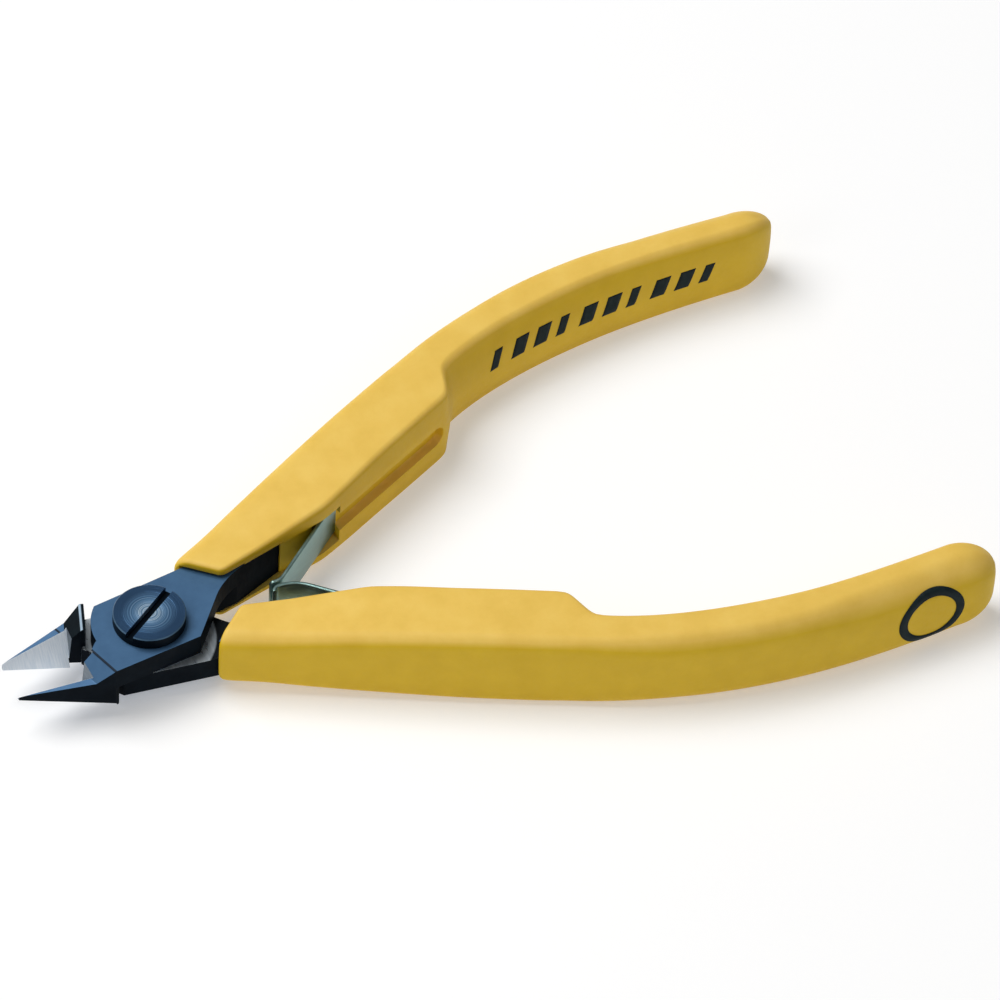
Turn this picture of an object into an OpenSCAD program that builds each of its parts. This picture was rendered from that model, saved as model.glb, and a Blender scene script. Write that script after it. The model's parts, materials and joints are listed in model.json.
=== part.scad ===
// Flush cut pliers: two lapped cutter halves on a shoulder screw, moulded grips and a pair of leaf springs.
// Millimetres. The tool lies flat, with +X along the handles, the jaws at -X and +Z up.
// Each half is drawn closed, with the pivot at the origin, its handle towards +Y and its jaw towards -Y.
// The lower half is the mirror image. Both are then swung apart by half of the opening angle.

/* [Opening] */
// Angle between the two halves at rest, held apart by the springs
open_angle = 14.5; // [8:0.5:14.5]

/* [Head] */
// Thickness of the steel head and tangs
head_thickness = 5.8; // [5.4:0.1:6.4]
// Half of the head's width across the joint
head_half_width = 4.9; // [4.8:0.05:5]
// Radius of the lap plates' rounded noses
nose_r = 6.45; // [6.3:0.05:6.55]
// Distance from the grips' middle plane down to the lap faces
lap_drop = 0.38; // [0.3:0.02:0.6]
// Gap between the two lap faces
lap_gap = 0.05; // [0.03:0.01:0.1]

/* [Jaws] */
// Distance from the pivot to the jaw tips
jaw_reach = 16.65; // [15:0.05:18]
// Distance from the pivot to the inner end of the cutting edges
throat_reach = 9; // [8.8:0.1:9.4]
// Half of the slot that the closed jaws leave behind the cutting edges
throat_half = 0.7; // [0.6:0.05:1]
// Half of the hairline that the closed cutting edges leave
edge_gap = 0.02; // [0.01:0.01:0.04]
// Width of each jaw at its tip
tip_width = 0.4; // [0.25:0.05:0.5]
// Height of the blade at its tip
tip_height = 0.6; // [0.5:0.05:0.9]
// Height of the blade at the throat
blade_height = 3.4; // [3:0.05:3.5]
// Rise of the flush side between the head and the tips
flush_rise = 2.6; // [2:0.05:2.7]
// Back-off of the flush side, away from the cutting edge
flush_relief = 4; // [0:0.5:6]
// Angle of the cutting bevel, from the flush side
bevel_angle = 52; // [48:1:54]
// Lean of the bevel's run-out at the throat
run_out_angle = 5; // [3:1:10]
// Angle of the ramp from the blade up to the head's face
ramp_angle = 44; // [42:1:48]

/* [Joint screw] */
// Diameter of the slotted head
screw_head_d = 8.1; // [7.6:0.1:8.4]
// Height of the slotted head
screw_head_h = 1.45; // [1.3:0.05:1.7]
// Width of the driver slot
slot_w = 0.95; // [0.7:0.05:1.1]
// Depth of the driver slot
slot_depth = 0.7; // [0.5:0.05:0.8]
// Direction of the driver slot
slot_angle = 34; // [0:1:90]
// Diameter of the shoulder that the upper half turns on
shoulder_d = 4.8; // [4.4:0.1:5]
// Diameter of the end that is screwed into the lower half
thread_d = 3.4; // [3:0.1:3.8]
// Radial running clearance on the shoulder
shoulder_fit = 0.03; // [0.02:0.01:0.08]

/* [Grips] */
// Thickness of the grips from the step to the tail
grip_h = 10.6; // [10:0.1:11]
// Height of the grips' upper side at their mouths
grip_mouth_top = 9; // [8.8:0.1:9.4]
// Distance from the pivot to the tail ends, along a closed half
grip_reach = 93.3; // [92:0.1:96]
// Depth of the channel floor between the mouth and the spring pocket
channel_depth = 0.7; // [0.5:0.1:0.7]
// Width of the long groove behind the spring pocket
groove_w = 2.8; // [2.2:0.1:3.2]
// Depth of the long groove
groove_depth = 0.8; // [0.5:0.1:0.8]

/* [Springs] */
// Thickness of the leaf springs
leaf_t = 0.45; // [0.4:0.05:0.5]
// Width of the leaf springs
leaf_w = 5; // [4:0.1:5.4]
// Length of the riveted tail of each leaf
leaf_tail = 9; // [8.5:0.5:10]
// Bend at rest between the upper leaf's tail and its free blade
upper_bend = 8.5; // [8:0.5:9]
// Bend at rest between the lower leaf's tail and its free blade
lower_bend = 12; // [11.5:0.5:12]
// Gap between a leaf and the tang that it lies on
leaf_gap = 0.04; // [0.03:0.01:0.06]
// Diameter of the rivet shanks
rivet_d = 1.8; // [1.6:0.1:2]
// Diameter of the flat rivet heads
rivet_head_d = 3; // [2.6:0.1:3.2]
// Height of the flat rivet heads
rivet_head_h = 0.3; // [0.2:0.05:0.35]

/* [Hidden] */

steel_blue = [0.29, 0.40, 0.52];
screw_blue = [0.22, 0.29, 0.40];
spring_grey = [0.66, 0.69, 0.70];
grip_yellow = [0.90, 0.74, 0.35];

half_angle = open_angle / 2;
grip_mid = grip_h / 2;
lap_z = grip_mid - lap_drop;
head_low = lap_z - head_thickness / 2;
head_top = lap_z + head_thickness / 2;
cut = 0.01;  // how far a cutting solid runs past a face
far = 60;    // size of the solids that stand for half-spaces

// The model is centred on X, so the pivot lies to the left of the origin.
tail_end = [grip_reach, 16];
open_tail_x = tail_end[0] * cos(half_angle) - tail_end[1] * sin(half_angle);
open_tip_x = -jaw_reach * cos(half_angle);
pivot_x = -(open_tail_x + open_tip_x) / 2;

// Outline points of a half, shared by its two layers
relief_inner = [-7.6, -0.45];
relief_outer = [-6.8, -4.45];
relief_bite = 0.06;  // how far the ramp bites into the lap plate
jaw_back = [0.5, 0.1];  // from the relief line to the jaw's back wall
flush_start = 6.6;  // distance from the pivot where the tapered flush side begins
plate_corner = [3.8, 0.2 - head_half_width];
neck_start = [8.3, -0.5];
neck_end = [12.2, 1.6];
tang_knee = [27, 5.5];
tang_bend_inner = [46.5, 14.1];
tang_bend_outer = [60, 20.2];
tang_tip_inner = [76, 18.2];
tang_tip_outer = [76, 20];
tang_side_outer = [20, 8.6];
plate_end_outer = [8, head_half_width];
tang_start_outer = [6.5, head_half_width];
tang_start_inner = [9.6, 1.5];
nose_notch = [-6.65, 0.35];

// Points of a cubic curve
function curve(p0, p1, p2, p3, steps) =
    [for (i = [0:steps]) let (t = i / steps, s = 1 - t)
        s * s * s * p0 + 3 * s * s * t * p1 + 3 * s * t * t * p2 + t * t * t * p3];

function reversed(list) = [for (i = [len(list) - 1:-1:0]) list[i]];

// Places a drawn half: 1 for the upper half, -1 for its mirror image
module swing(side) {
    translate([pivot_x, 0, 0])
        rotate([0, 0, side * half_angle])
            mirror([0, side < 0 ? 1 : 0, 0])
                children();
}

// ---------- steel halves ----------

// Blade and jaw root in plan
module jaw_outline() {
    polygon([[-jaw_reach, -edge_gap], [-throat_reach, -edge_gap], [-throat_reach, -throat_half],
             [relief_inner[0] + jaw_back[0], -throat_half], relief_inner + jaw_back,
             relief_outer + jaw_back, relief_outer, [-jaw_reach, -edge_gap - tip_width]]);
}

// Tang in plan, from the plate's edge to its tip
tang_edge = [tang_knee, tang_bend_inner, [60, 17.9], tang_tip_inner, tang_tip_outer,
             tang_bend_outer, tang_side_outer];

// Lap plate with its round nose, its jaw and its tang
module plate_outline() {
    side_angle = 180 - asin(head_half_width / nose_r);
    notch_angle = 176;
    steps = 10;
    nose = [for (i = [0:steps])
        let (a = side_angle + (notch_angle - side_angle) * i / steps) nose_r * [cos(a), sin(a)]];
    polygon(concat(
        nose, [nose_notch, relief_inner, relief_outer, plate_corner],
        curve(neck_start, [9.2, 0.35], [10.6, 1.15], neck_end, 8),
        tang_edge, [plate_end_outer]));
    jaw_outline();
}

// Tang in the other half's layer, starting at the grip's mouth, past the reach of the other plate
module tang_outline() {
    polygon(concat([tang_start_outer, tang_start_inner, neck_end], tang_edge, [plate_end_outer]));
}

flush_slope = atan(flush_rise / (jaw_reach - flush_start));
flush_tip_z = head_low + flush_rise;
flush_throat_z = flush_tip_z - (jaw_reach - throat_reach) * tan(flush_slope);
land_slope = atan((flush_throat_z + blade_height - flush_tip_z - tip_height) / (jaw_reach - throat_reach));
relief_heading = atan2(relief_outer[0] - relief_inner[0], relief_inner[1] - relief_outer[1]);

// Ground shape of the jaws: tapered flush side, relieved top and cutting bevel
module jaw_cuts() {
    translate([-flush_start, 0, head_low])
        rotate([-flush_relief, flush_slope, 0])
            translate([-far / 2, -far / 2, -far])
                cube([far / 2, far, far]);
    // relieved top: above both the blade's top and the ramp
    intersection() {
        translate([-jaw_reach, 0, flush_tip_z + tip_height])
            rotate([0, -land_slope, 0])
                translate([-far, -far, 0])
                    cube([2 * far, 2 * far, far]);
        translate([relief_inner[0] + relief_bite, relief_inner[1], head_top])
            rotate([0, 0, relief_heading])
                rotate([0, -ramp_angle, 0])
                    translate([-far, -far, 0])
                        cube([far, 2 * far, far]);
    }
    // cutting bevel with its run-out at the throat
    intersection() {
        translate([-jaw_reach, -edge_gap, flush_tip_z])
            rotate([0, flush_slope, 0])
                rotate([-bevel_angle, 0, 0])
                    translate([-far / 2, -far / 2, 0])
                        cube([far, far, far / 2]);
        translate([-throat_reach, 0, flush_throat_z])
            rotate([0, run_out_angle, 0])
                translate([-far, -far / 2, -far / 2])
                    cube([far, far, far]);
    }
}

// A steel half: its lap plate lies between plate_low and plate_high, its jaw and tang fill the other layer
module cutter_half(plate_low, plate_high, other_low, other_high) {
    difference() {
        union() {
            translate([0, 0, plate_low])
                linear_extrude(plate_high - plate_low) plate_outline();
            translate([0, 0, other_low])
                linear_extrude(other_high - other_low) {
                    jaw_outline();
                    tang_outline();
                }
        }
        jaw_cuts();
        rivet_axis() cylinder(h = rivet_hole, d = rivet_d, center = true, $fn = 48);
    }
}

module upper_cutter_half() {
    color(steel_blue)
        swing(1)
            difference() {
                cutter_half(lap_z + lap_gap, head_top, head_low, lap_z + lap_gap);
                translate([0, 0, lap_z])
                    cylinder(h = head_thickness, d = shoulder_d + 2 * shoulder_fit, $fn = 96);
            }
}

module lower_cutter_half() {
    color(steel_blue)
        swing(-1)
            difference() {
                cutter_half(head_low, lap_z, lap_z, head_top);
                translate([0, 0, head_low - cut])
                    cylinder(h = head_thickness, d = thread_d, $fn = 64);
            }
}

// ---------- joint screw ----------

head_base = head_top + 0.05;
screw_top = head_base + screw_head_h;
screw_chamfer = 0.25;
end_chamfer = 0.2;

module joint_screw() {
    color(screw_blue)
        translate([pivot_x, 0, 0])
            difference() {
                rotate_extrude($fn = 96)
                    polygon([[0, head_low], [thread_d / 2 - end_chamfer, head_low],
                             [thread_d / 2, head_low + end_chamfer], [thread_d / 2, lap_z],
                             [shoulder_d / 2, lap_z], [shoulder_d / 2, head_base],
                             [screw_head_d / 2, head_base], [screw_head_d / 2, screw_top - screw_chamfer],
                             [screw_head_d / 2 - screw_chamfer, screw_top], [0, screw_top]]);
                translate([0, 0, screw_top - slot_depth])
                    rotate([0, 0, slot_angle])
                        translate([-screw_head_d, -slot_w / 2, 0])
                            cube([2 * screw_head_d, slot_w, screw_head_h]);
            }
}

// ---------- grips ----------

mouth_inner = [10.05, 1.3];
mouth_outer = [6.2, 5.3];
inner_knee = [24.4, 3.05];
step_top = [44.7, 9.8];
step_foot = [47.6, 13];
tail_inner = [90.4, 13.8];
tail_outer = [90.8, 19.4];
outer_bend = [44.8, 18.5];
outer_front = [10.5, 6.75];
mouth_wall = 0.65;  // plastic under the tang at the mouth

module grip_outline() {
    polygon(concat(
        [mouth_inner, inner_knee, step_top, [45.6, 10.6]],
        curve(step_foot, [57, 16.6], [73, 16.6], tail_inner, 12),
        curve([91.4, 13.8], [grip_reach + 0.6, 14.1], [grip_reach + 0.8, 18.6], [91.8, 19.1], 6),
        curve(tail_outer, [72, 23], [58, 23.1], outer_bend, 12),
        [outer_front, [6.9, 5.8], mouth_outer]));
}

// Side view: thinner at the mouth, full thickness from the step to the tail
module grip_profile() {
    low = head_low - mouth_wall;
    spread = [14, 0.3];  // where the mouth ends, and how much each side has swelled there
    full = step_top[0] - 6;
    polygon([[0, low], [spread[0], low - spread[1]], [full, 0], [far * 2, 0], [far * 2, grip_h],
             [full, grip_h], [spread[0], grip_mouth_top + spread[1]], [0, grip_mouth_top]]);
}

module grip_body() {
    intersection() {
        linear_extrude(grip_h) grip_outline();
        translate([0, far, 0])
            rotate([90, 0, 0])
                linear_extrude(2 * far) grip_profile();
    }
}

// Tang seat, as deep as the tang itself
module tang_seat() {
    translate([0, 0, head_low])
        linear_extrude(head_thickness)
            polygon(concat([[5, 3], [9.8, -1], neck_end], tang_edge,
                           [plate_end_outer, [5, plate_end_outer[1]]]));
}

pocket_start = 23;
pocket_end = 26.9;
floor_start = 18.6;
inner_slope = (inner_knee[1] - mouth_inner[1]) / (inner_knee[0] - mouth_inner[0]);

// Inner face of the grip between the mouth and the knee, in plan
function inner_y(x) = mouth_inner[1] + (x - mouth_inner[0]) * inner_slope;

// Inner face of the tang between the neck and the knee, in plan
function tang_y(x) =
    neck_end[1] + (x - neck_end[0]) * (tang_knee[1] - neck_end[1]) / (tang_knee[0] - neck_end[0]);

// Inner side of the grip: open to the tang at the mouth and at the spring pocket
module channel() {
    translate([0, 0, head_low])
        linear_extrude(head_thickness) {
            polygon([[9, 0], [floor_start, 0], [floor_start, tang_y(floor_start)], [9, 1.6]]);
            polygon([[floor_start - cut, 0], [pocket_start + cut, 0],
                     [pocket_start + cut, inner_y(pocket_start) + channel_depth],
                     [floor_start - cut, inner_y(floor_start) + channel_depth]]);
            polygon([[pocket_start, 0], [pocket_end, 1], [pocket_end, tang_y(pocket_end)],
                     [pocket_start, tang_y(pocket_start)]]);
        }
}

// Long groove between the spring pocket and the step
module groove() {
    angle = atan2(step_top[1] - inner_knee[1], step_top[0] - inner_knee[0]);
    start = 1.6;
    length = 17;
    translate([inner_knee[0], inner_knee[1], grip_mid])
        rotate([0, 0, angle])
            translate([start, 0, 0])
                rotate([-90, 0, 0])
                    linear_extrude(height = 2 * groove_depth, center = true) {
                        translate([0, -groove_w / 2])
                            square([length, groove_w]);
                        translate([length, 0])
                            circle(d = groove_w, $fn = 48);
                    }
}

module grip(side) {
    color(grip_yellow)
        swing(side)
            difference() {
                grip_body();
                tang_seat();
                channel();
                groove();
                leaf_slot();
            }
}

module upper_grip() { grip(1); }
module lower_grip() { grip(-1); }

// ---------- leaf springs ----------

tail_angle = atan2(tang_bend_inner[1] - tang_knee[1], tang_bend_inner[0] - tang_knee[0]);
rivet_at = 6;      // from the knee to the rivet
rivet_hole = 12;   // length of a drill that passes right through the tang
rivet_seat = 1.6;  // depth of the shank in the tang
rivet_play = 0.02; // gap between the leaf and the rivet's head
leaf_hole_play = 0.1;

// Frame on the tang's inner face: +X towards the tail, -Y towards the other handle
module on_tang() {
    translate([tang_knee[0], tang_knee[1], lap_z])
        rotate([0, 0, tail_angle])
            children();
}

module rivet_axis() {
    on_tang()
        translate([rivet_at, 0, 0])
            rotate([90, 0, 0])
                children();
}

// Room in the grip for the leaf's tail and the rivet's head
module leaf_slot() {
    room = 0.06;
    mouth = 1.5;  // the slot opens ahead of the knee
    depth = leaf_t + leaf_gap + room;
    on_tang() {
        translate([-mouth, -depth, -leaf_w / 2 - room])
            cube([leaf_tail + mouth + room, depth + cut, leaf_w + 2 * room]);
        translate([rivet_at, -leaf_t - leaf_gap - rivet_head_h - room, 0])
            rotate([-90, 0, 0])
                cylinder(h = 1, d = rivet_head_d + 2 * room, $fn = 48);
    }
}

// Each step of a leaf's route is [length, turn in degrees, number of pieces]
upper_route = [[leaf_tail - 0.6, 0, 1], [1.2, upper_bend, 5], [12, 0, 1], [1.2, -39.5, 6], [0.7, 0, 1]];
lower_route = [[leaf_tail - 0.6, 0, 1], [1.2, lower_bend, 5], [9.73, 0, 1], [3.6, -43, 10], [1.1, -85, 8]];

// Points and headings along a route, each as [x, y, heading]
function walk(route, at, heading, step = 0) =
    step == len(route) ? [] :
    let (length = route[step][0], turn = route[step][1], pieces = route[step][2],
         points = [for (i = [1:pieces])
             let (mids = [for (k = [0:i - 1]) heading + turn * (k + 0.5) / pieces],
                  run = [for (m = mids) length / pieces * [cos(m), sin(m)]])
             concat(at + total(run), [heading + turn * i / pieces])],
         last = points[pieces - 1])
    concat(points, walk(route, [last[0], last[1]], last[2], step + 1));

function total(list, i = 0) = i == len(list) - 1 ? list[i] : list[i] + total(list, i + 1);

// A strip of the leaf's thickness along its route
module leaf(route) {
    start = [leaf_tail, -leaf_t / 2 - leaf_gap];
    path = concat([[start[0], start[1], 180]], walk(route, start, 180));
    left = [for (p = path) [p[0], p[1]] + leaf_t / 2 * [-sin(p[2]), cos(p[2])]];
    right = [for (p = path) [p[0], p[1]] - leaf_t / 2 * [-sin(p[2]), cos(p[2])]];
    difference() {
        on_tang()
            translate([0, 0, -leaf_w / 2])
                linear_extrude(leaf_w) polygon(concat(left, reversed(right)));
        rivet_axis()
            cylinder(h = rivet_hole, d = rivet_d + leaf_hole_play, center = true, $fn = 48);
    }
}

module upper_leaf_spring() {
    color(spring_grey) swing(1) leaf(upper_route);
}

module lower_leaf_spring() {
    color(spring_grey) swing(-1) leaf(lower_route);
}

// Flat-headed rivet through the leaf's tail and the tang
module spring_rivet(side) {
    color(spring_grey)
        swing(side)
            rivet_axis() {
                head_at = leaf_gap + leaf_t + rivet_play;
                translate([0, 0, -rivet_seat])
                    cylinder(h = rivet_seat + head_at, d = rivet_d, $fn = 48);
                translate([0, 0, head_at])
                    cylinder(h = rivet_head_h, d = rivet_head_d, $fn = 48);
            }
}

module upper_spring_rivet() { spring_rivet(1); }
module lower_spring_rivet() { spring_rivet(-1); }

upper_cutter_half();
lower_cutter_half();
joint_screw();
upper_grip();
lower_grip();
upper_leaf_spring();
lower_leaf_spring();
upper_spring_rivet();
lower_spring_rivet();
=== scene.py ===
"""Looks for the flush cut pliers: moulded grips, blued steel halves, a turned screw head and leaf springs.

Plan sizes are in millimetres, as one half is drawn: the pivot at the origin, the handle towards +X and +Y,
the jaw towards -X. Side 1 is the upper half and side -1 the lower half, its mirror image. Heights are above
the floor.
"""

import json
import math

import bmesh
import bpy
from mathutils import Matrix, Vector
from mathutils.bvhtree import BVHTree


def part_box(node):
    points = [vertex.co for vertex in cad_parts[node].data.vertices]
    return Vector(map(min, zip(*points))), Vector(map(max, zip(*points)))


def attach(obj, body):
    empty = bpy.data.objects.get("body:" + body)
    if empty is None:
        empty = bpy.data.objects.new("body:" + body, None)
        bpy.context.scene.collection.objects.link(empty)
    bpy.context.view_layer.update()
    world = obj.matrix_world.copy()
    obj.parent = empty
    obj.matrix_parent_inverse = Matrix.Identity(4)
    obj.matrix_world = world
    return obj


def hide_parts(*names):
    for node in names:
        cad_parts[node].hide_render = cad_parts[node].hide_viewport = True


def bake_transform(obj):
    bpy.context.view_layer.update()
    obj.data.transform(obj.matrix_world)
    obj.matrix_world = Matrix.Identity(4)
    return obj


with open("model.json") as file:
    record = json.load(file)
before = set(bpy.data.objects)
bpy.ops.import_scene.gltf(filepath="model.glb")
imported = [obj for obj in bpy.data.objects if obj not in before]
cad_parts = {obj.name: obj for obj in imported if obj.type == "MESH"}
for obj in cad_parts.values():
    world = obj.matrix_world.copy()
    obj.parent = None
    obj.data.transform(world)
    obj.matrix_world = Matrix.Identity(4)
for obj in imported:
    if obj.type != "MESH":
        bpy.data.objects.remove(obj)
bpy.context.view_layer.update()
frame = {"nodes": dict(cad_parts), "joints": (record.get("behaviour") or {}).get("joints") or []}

MM = 0.001
PIVOT_JOINT = next(j for j in frame["joints"] if j["name"] == "pivot")
HALF_ANGLE = -math.radians(PIVOT_JOINT["range_deg"][0]) / 2
PIVOT = Vector((PIVOT_JOINT["pos_m"][0], PIVOT_JOINT["pos_m"][1], 0))
GRIP_LOW, GRIP_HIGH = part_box("upper_grip")
GRIP_H = (GRIP_HIGH.z - GRIP_LOW.z) / MM
MID = GRIP_H / 2
SCREW_LOW, SCREW_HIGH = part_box("joint_screw")
SCREW_R = (SCREW_HIGH.x - SCREW_LOW.x) / 2 / MM
SCREW_TOP = SCREW_HIGH.z / MM
CUTTER_LOW, CUTTER_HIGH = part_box("lower_cutter_half")
STEEL_LOW = CUTTER_LOW.z / MM
STEEL_TOP = CUTTER_HIGH.z / MM
LAP = (STEEL_LOW + STEEL_TOP) / 2
LEAF_LOW, LEAF_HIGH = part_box("upper_leaf_spring")
LEAF_W = (LEAF_HIGH.z - LEAF_LOW.z) / MM

# Upper edge of a jaw's ramp, and the tang's inner edge from the mouth over its bend to its end
RAMP_EDGE = ((-7.54, -0.45), (-6.74, -4.45))
TANG_MOUTH, TANG_BEND, TANG_END = (12.2, 1.6), (27, 5.5), (46.5, 14.1)


def half_matrix(side):
    """From a half as drawn, in millimetres about the pivot, to its place in the row frame."""
    return (
        Matrix.Translation(PIVOT)
        @ Matrix.Rotation(side * HALF_ANGLE, 4, "Z")
        @ Matrix.Diagonal((MM, side * MM, MM, 1))
    )


# ---------------------------------------------------------------- materials

LAP_SHADE_START, LAP_SHADE_END = 0.0073, 0.0075  # metres from the pivot where the polished lap faces turn black, as painted shade
LINE_CORE, LINE_EDGE = 0.00009, 0.00016  # half-width in metres of the painted shade and painted highlight lines along the ramps' upper edges, solid and faded out
TURNING_MARKS = 6500.0  # noise cells per metre of the screw's radius


def new_material(name):
    """A node material and its Principled shader."""
    material = bpy.data.materials.new(name)
    material.use_nodes = True
    return material, material.node_tree.nodes["Principled BSDF"]


class Nodes:
    """Short calls for building a node tree."""

    def __init__(self, material):
        self.tree = material.node_tree
        self.coords = self.add("ShaderNodeTexCoord")

    def add(self, kind, inputs=None, **settings):
        """A node with its settings and inputs. An input is a value, or the socket that it is linked from."""
        node = self.tree.nodes.new(kind)
        for key, value in settings.items():
            setattr(node, key, value)
        for key, value in (inputs or {}).items():
            if isinstance(value, bpy.types.NodeSocket):
                self.link(value, node.inputs[key])
            else:
                node.inputs[key].default_value = value
        return node

    def link(self, source, target):
        self.tree.links.new(source, target)

    def noise(self, scale, detail=3.0, stretch=None, rough=0.5):
        vector = self.coords.outputs["Object"]
        if stretch:
            mapping = self.add("ShaderNodeMapping", {"Vector": vector, "Scale": stretch})
            vector = mapping.outputs["Vector"]
        return self.add(
            "ShaderNodeTexNoise",
            {"Vector": vector, "Scale": scale, "Detail": detail, "Roughness": rough},
        ).outputs["Fac"]

    def ramp(self, fac, *stops):
        node = self.add("ShaderNodeValToRGB", {"Fac": fac})
        elements = node.color_ramp.elements
        while len(elements) < len(stops):
            elements.new(0.5)
        for element, (position, colour) in zip(elements, stops):
            element.position = position
            element.color = (*colour, 1)
        return node.outputs["Color"]

    def span(self, value, low, high, to_low=0.0, to_high=1.0):
        return self.add(
            "ShaderNodeMapRange",
            {"Value": value, "From Min": low, "From Max": high, "To Min": to_low, "To Max": to_high},
        ).outputs["Result"]

    def math(self, operation, a, b=0.0):
        return self.add("ShaderNodeMath", {0: a, 1: b}, operation=operation).outputs[0]

    def vector_math(self, operation, a, b=None):
        inputs = {0: a} if b is None else {0: a, 1: b}
        return self.add("ShaderNodeVectorMath", inputs, operation=operation).outputs

    def blend(self, share, a, b):
        """Colour a where share is 0, colour b where it is 1. A Mix node's colour sockets share their names
        with its other sockets, so they go by number."""
        node = self.add("ShaderNodeMix", data_type="RGBA")
        for socket, value in zip((node.inputs[0], node.inputs[6], node.inputs[7]), (share, a, b)):
            self.link(value, socket)
        return node.outputs[2]

    def from_axis(self):
        """Distance from the pivot's axis, in metres."""
        centre = self.vector_math("SUBTRACT", self.coords.outputs["Object"], tuple(PIVOT))[0]
        flat = self.vector_math("MULTIPLY", centre, (1, 1, 0))[0]
        return self.vector_math("LENGTH", flat)["Value"]

    def from_ramp_edge(self, side):
        """Distance in plan from the upper edge of a jaw's ramp, in metres."""
        a, b = (half_matrix(side) @ Vector((x, y, 0)) for x, y in RAMP_EDGE)
        across = Vector((b.y - a.y, a.x - b.x, 0)).normalized()
        along = self.vector_math("DOT_PRODUCT", self.coords.outputs["Object"], tuple(across))["Value"]
        return self.math("ABSOLUTE", self.math("SUBTRACT", along, across.dot(a)))

    def bump(self, height, strength, distance):
        return self.add(
            "ShaderNodeBump", {"Height": height, "Strength": strength, "Distance": distance}
        ).outputs["Normal"]


def grip_plastic():
    """Matt yellow plastic with faint mottling and a fine moulded grain. The upward faces are painted a
    lighter, paler yellow than the walls: painted sheen on the flat faces, painted shade on the walls.
    """
    material, shader = new_material("grip_plastic")
    n = Nodes(material)
    mottle = n.noise(260, 4, rough=0.6)
    top = n.ramp(mottle, (0.3, (0.80, 0.515, 0.085)), (0.5, (0.84, 0.55, 0.10)), (0.7, (0.87, 0.585, 0.12)))
    side = n.ramp(
        mottle, (0.3, (0.72, 0.46, 0.004)), (0.5, (0.75, 0.485, 0.007)), (0.7, (0.78, 0.51, 0.010))
    )
    # top and side are lit and shaded copies of one yellow: top holds a painted sheen, side a painted shade
    normal = n.add("ShaderNodeNewGeometry").outputs["Normal"]
    facing = n.add("ShaderNodeSeparateXYZ", {0: normal}).outputs["Z"]
    painted_sheen_share = n.span(n.math("ABSOLUTE", facing), 0.36, 0.7)
    n.link(n.blend(painted_sheen_share, side, top), shader.inputs["Base Color"])
    grain = n.noise(2600, 2)
    n.link(n.span(grain, 0.3, 0.7, 0.5, 0.62), shader.inputs["Roughness"])
    n.link(n.bump(grain, 0.12, 0.00004), shader.inputs["Normal"])
    shader.inputs["Specular IOR Level"].default_value = 0.35
    shader.inputs["Subsurface Weight"].default_value = 0.06
    shader.inputs["Subsurface Radius"].default_value = (0.0012, 0.0007, 0.0003)
    return material


def blued_steel(name, dark, light, roughness, metallic=0.85, specular=0.5, line=None):
    """Black-oxide steel with a fine lapped grain. A line is (side, colour), painted along the upper edge of
    that half's ramp: a dark colour there is painted shade, a light one a painted highlight."""
    material, shader = new_material(name)
    n = Nodes(material)
    cloud = n.noise(420, 4, rough=0.6)
    colour = n.ramp(cloud, (0.3, dark), (0.7, light))
    if line:
        side, tint = line
        painted_line_colour = n.ramp(cloud, (0.3, tint), (0.7, tuple(1.3 * v for v in tint)))
        colour = n.blend(n.span(n.from_ramp_edge(side), LINE_CORE, LINE_EDGE), painted_line_colour, colour)
    n.link(colour, shader.inputs["Base Color"])
    grain = n.noise(900, 3, stretch=(1, 7, 1))
    n.link(n.span(grain, 0.25, 0.75, roughness - 0.05, roughness + 0.07), shader.inputs["Roughness"])
    n.link(n.bump(grain, 0.1, 0.00003), shader.inputs["Normal"])
    shader.inputs["Metallic"].default_value = metallic
    shader.inputs["Specular IOR Level"].default_value = specular
    return material


def ground_steel(name, dark, light, roughness, across, metallic=0.9):
    """Bright ground steel, with brush marks across the edge."""
    material, shader = new_material(name)
    n = Nodes(material)
    marks = n.noise(700, 5, stretch=across, rough=0.7)
    n.link(n.ramp(marks, (0.3, dark), (0.7, light)), shader.inputs["Base Color"])
    n.link(n.span(marks, 0.3, 0.7, roughness - 0.06, roughness + 0.08), shader.inputs["Roughness"])
    n.link(n.bump(marks, 0.25, 0.00003), shader.inputs["Normal"])
    shader.inputs["Metallic"].default_value = metallic
    return material


def lapped_steel():
    """The lap faces: polished steel near the pivot, and beyond a circle about it black and unmetallic, as
    painted shade.
    """
    material, shader = new_material("lapped_steel")
    n = Nodes(material)
    marks = n.noise(700, 4, stretch=(4, 1, 1), rough=0.6)
    polished_lap = n.ramp(marks, (0.3, (0.52, 0.60, 0.66)), (0.7, (0.72, 0.79, 0.84)))
    lap_shade = n.ramp(marks, (0.3, (0.002, 0.004, 0.006)), (0.7, (0.005, 0.009, 0.013)))
    radius = n.from_axis()
    n.link(n.blend(n.span(radius, LAP_SHADE_START, LAP_SHADE_END), polished_lap, lap_shade), shader.inputs["Base Color"])
    n.link(n.span(radius, LAP_SHADE_START, LAP_SHADE_END, 0.85, 0.0), shader.inputs["Metallic"])
    n.link(n.span(marks, 0.3, 0.7, 0.26, 0.36), shader.inputs["Roughness"])
    shader.inputs["Specular IOR Level"].default_value = 0.2
    return material


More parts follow.
